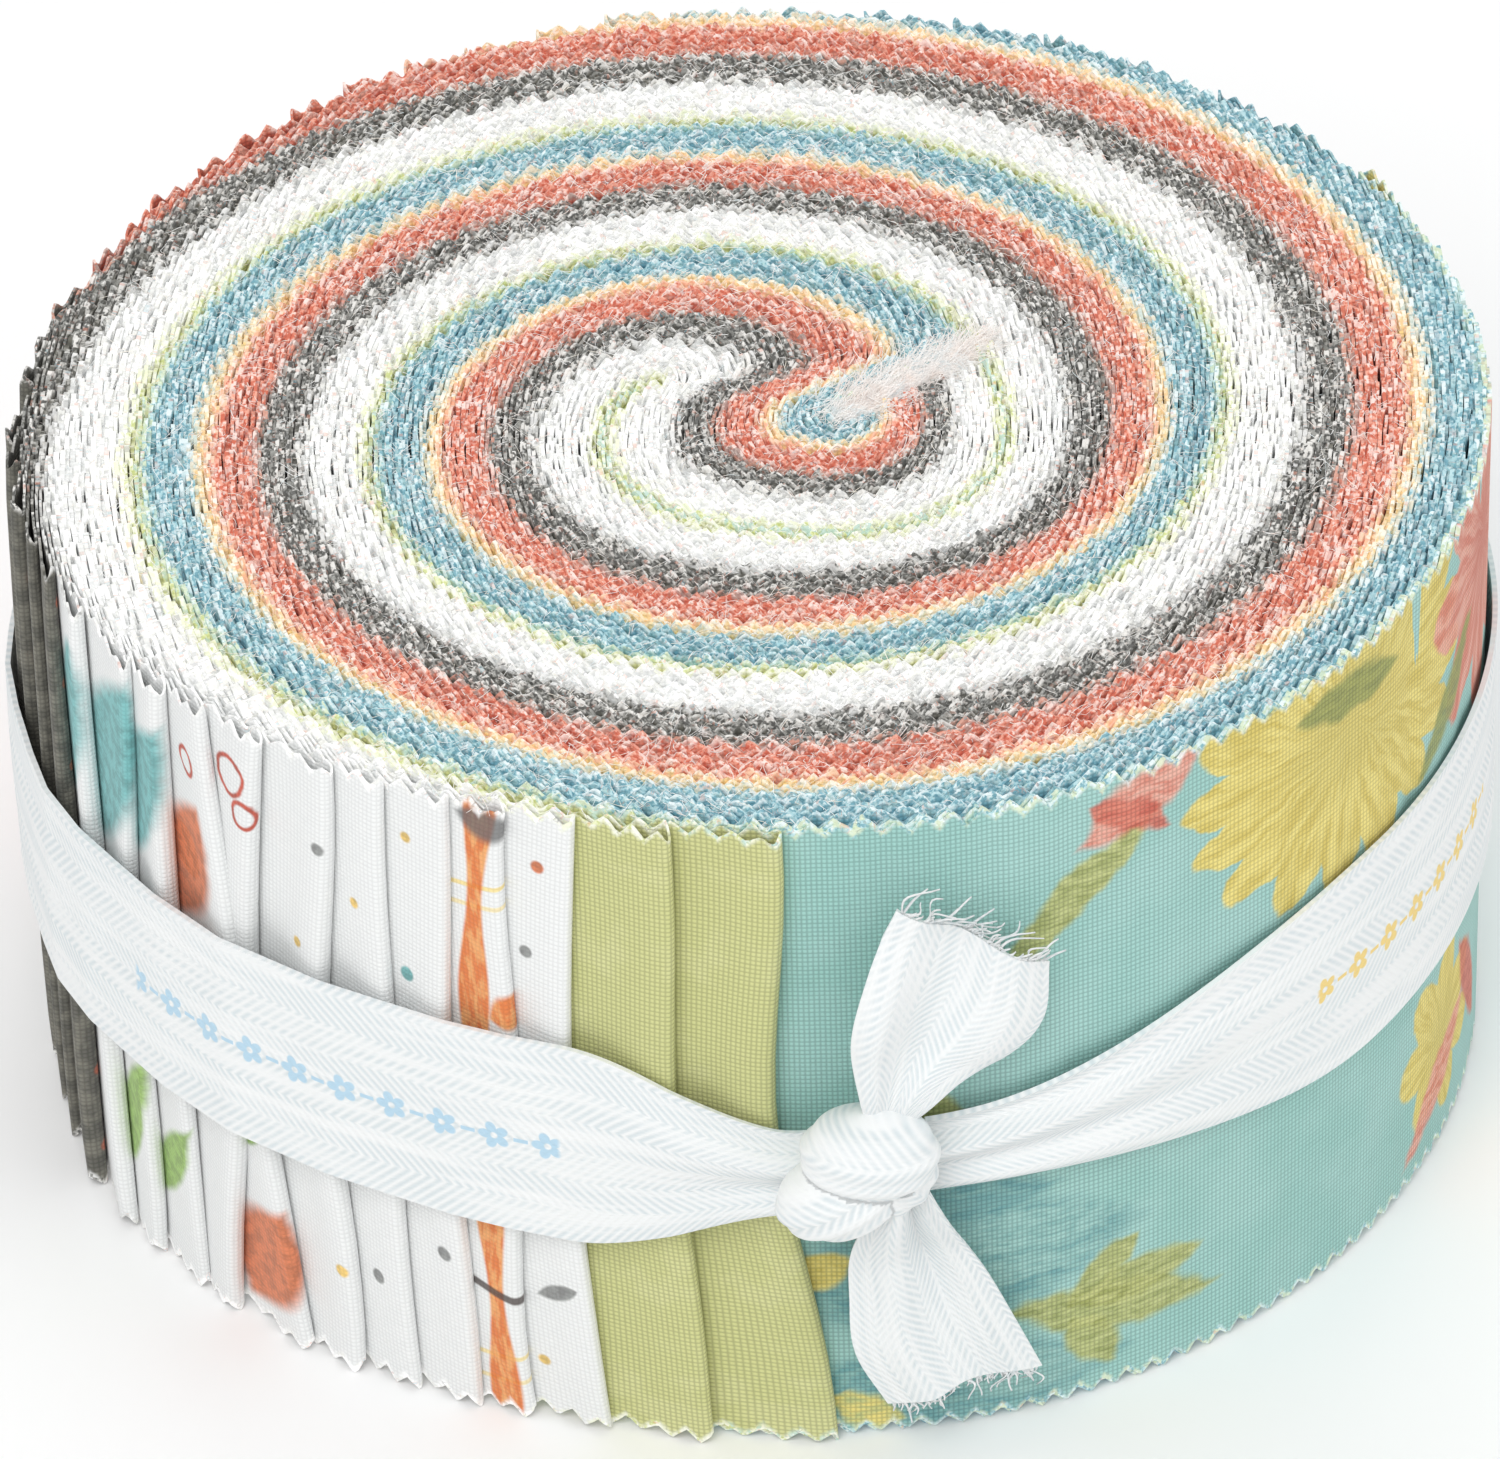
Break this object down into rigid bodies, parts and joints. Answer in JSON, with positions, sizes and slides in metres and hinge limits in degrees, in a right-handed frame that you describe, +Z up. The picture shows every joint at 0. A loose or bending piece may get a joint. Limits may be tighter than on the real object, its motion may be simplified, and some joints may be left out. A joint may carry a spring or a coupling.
{
  "type": "quilting strip roll",
  "caption": "Roll of pre-cut quilting strips: pinked cotton strips folded, stacked and wound on edge into a flat drum, tied round the middle with a knotted white twill tape.",
  "frame": {"origin": "the roll's axis in the plane that the lower pinked edges stand on, on the lower edge of the strip that crosses the axis", "axes": "+Z up along the roll's axis, across the strips' width; -Y towards the tape's knot; +X to the right of the knot seen from in front"},
  "size_m": [0.1265, 0.1315, 0.0635],
  "materials": {
    "aqua": "printed quilting cotton, plain weave, matt",
    "yellow": "printed quilting cotton, plain weave, matt",
    "coral": "printed quilting cotton, plain weave, matt",
    "gray": "printed quilting cotton, plain weave, matt",
    "white": "printed quilting cotton, plain weave, matt",
    "green": "solid quilting cotton, plain weave, matt",
    "tape": "cotton twill tape, herringbone weave, matt"
  },
  "bodies": {
    "roll": {"strip_01_aqua": "aqua", "strip_02_aqua": "aqua", "strip_03_aqua": "aqua", "strip_04_aqua": "aqua", "strip_05_aqua": "aqua", "strip_06_aqua": "aqua", "strip_07_aqua": "aqua", "strip_08_aqua": "aqua", "strip_09_aqua": "aqua", "strip_10_yellow": "yellow", "strip_11_yellow": "yellow", "strip_12_yellow": "yellow", "strip_13_coral": "coral", "strip_14_coral": "coral", "strip_15_coral": "coral", "strip_16_coral": "coral", "strip_17_coral": "coral", "strip_18_coral": "coral", "strip_19_coral": "coral", "strip_20_coral": "coral", "strip_21_gray": "gray", "strip_22_gray": "gray", "strip_23_gray": "gray", "strip_24_gray": "gray", "strip_25_gray": "gray", "strip_26_gray": "gray", "strip_27_gray": "gray", "strip_28_gray": "gray", "strip_29_white": "white", "strip_30_white": "white", "strip_31_white": "white", "strip_32_white": "white", "strip_33_white": "white", "strip_34_white": "white", "strip_35_white": "white", "strip_36_white": "white", "strip_37_white": "white", "strip_38_white": "white", "strip_39_green": "green", "strip_40_green": "green"},
    "tie": {"tape_band": "tape", "tape_knot": "tape"},
    "tail_upper": {"tape_tail_upper": "tape"},
    "tail_lower": {"tape_tail_lower": "tape"}
  },
  "joints": [
    {"name": "tie_slide", "type": "slide", "parent": "roll", "child": "tie", "axis": [0, 0, 1], "range_m": [0, 0.062]},
    {"name": "tail_upper_lift", "type": "hinge", "parent": "tie", "child": "tail_upper", "pos_m": [0.00131, -0.06173, 0.0397], "axis": [1, 0, 0], "range_deg": [0, 70]},
    {"name": "tail_lower_lift", "type": "hinge", "parent": "tie", "child": "tail_lower", "pos_m": [0.00131, -0.06173, 0.0253], "axis": [-1, 0, 0], "range_deg": [0, 70]}
  ]
}
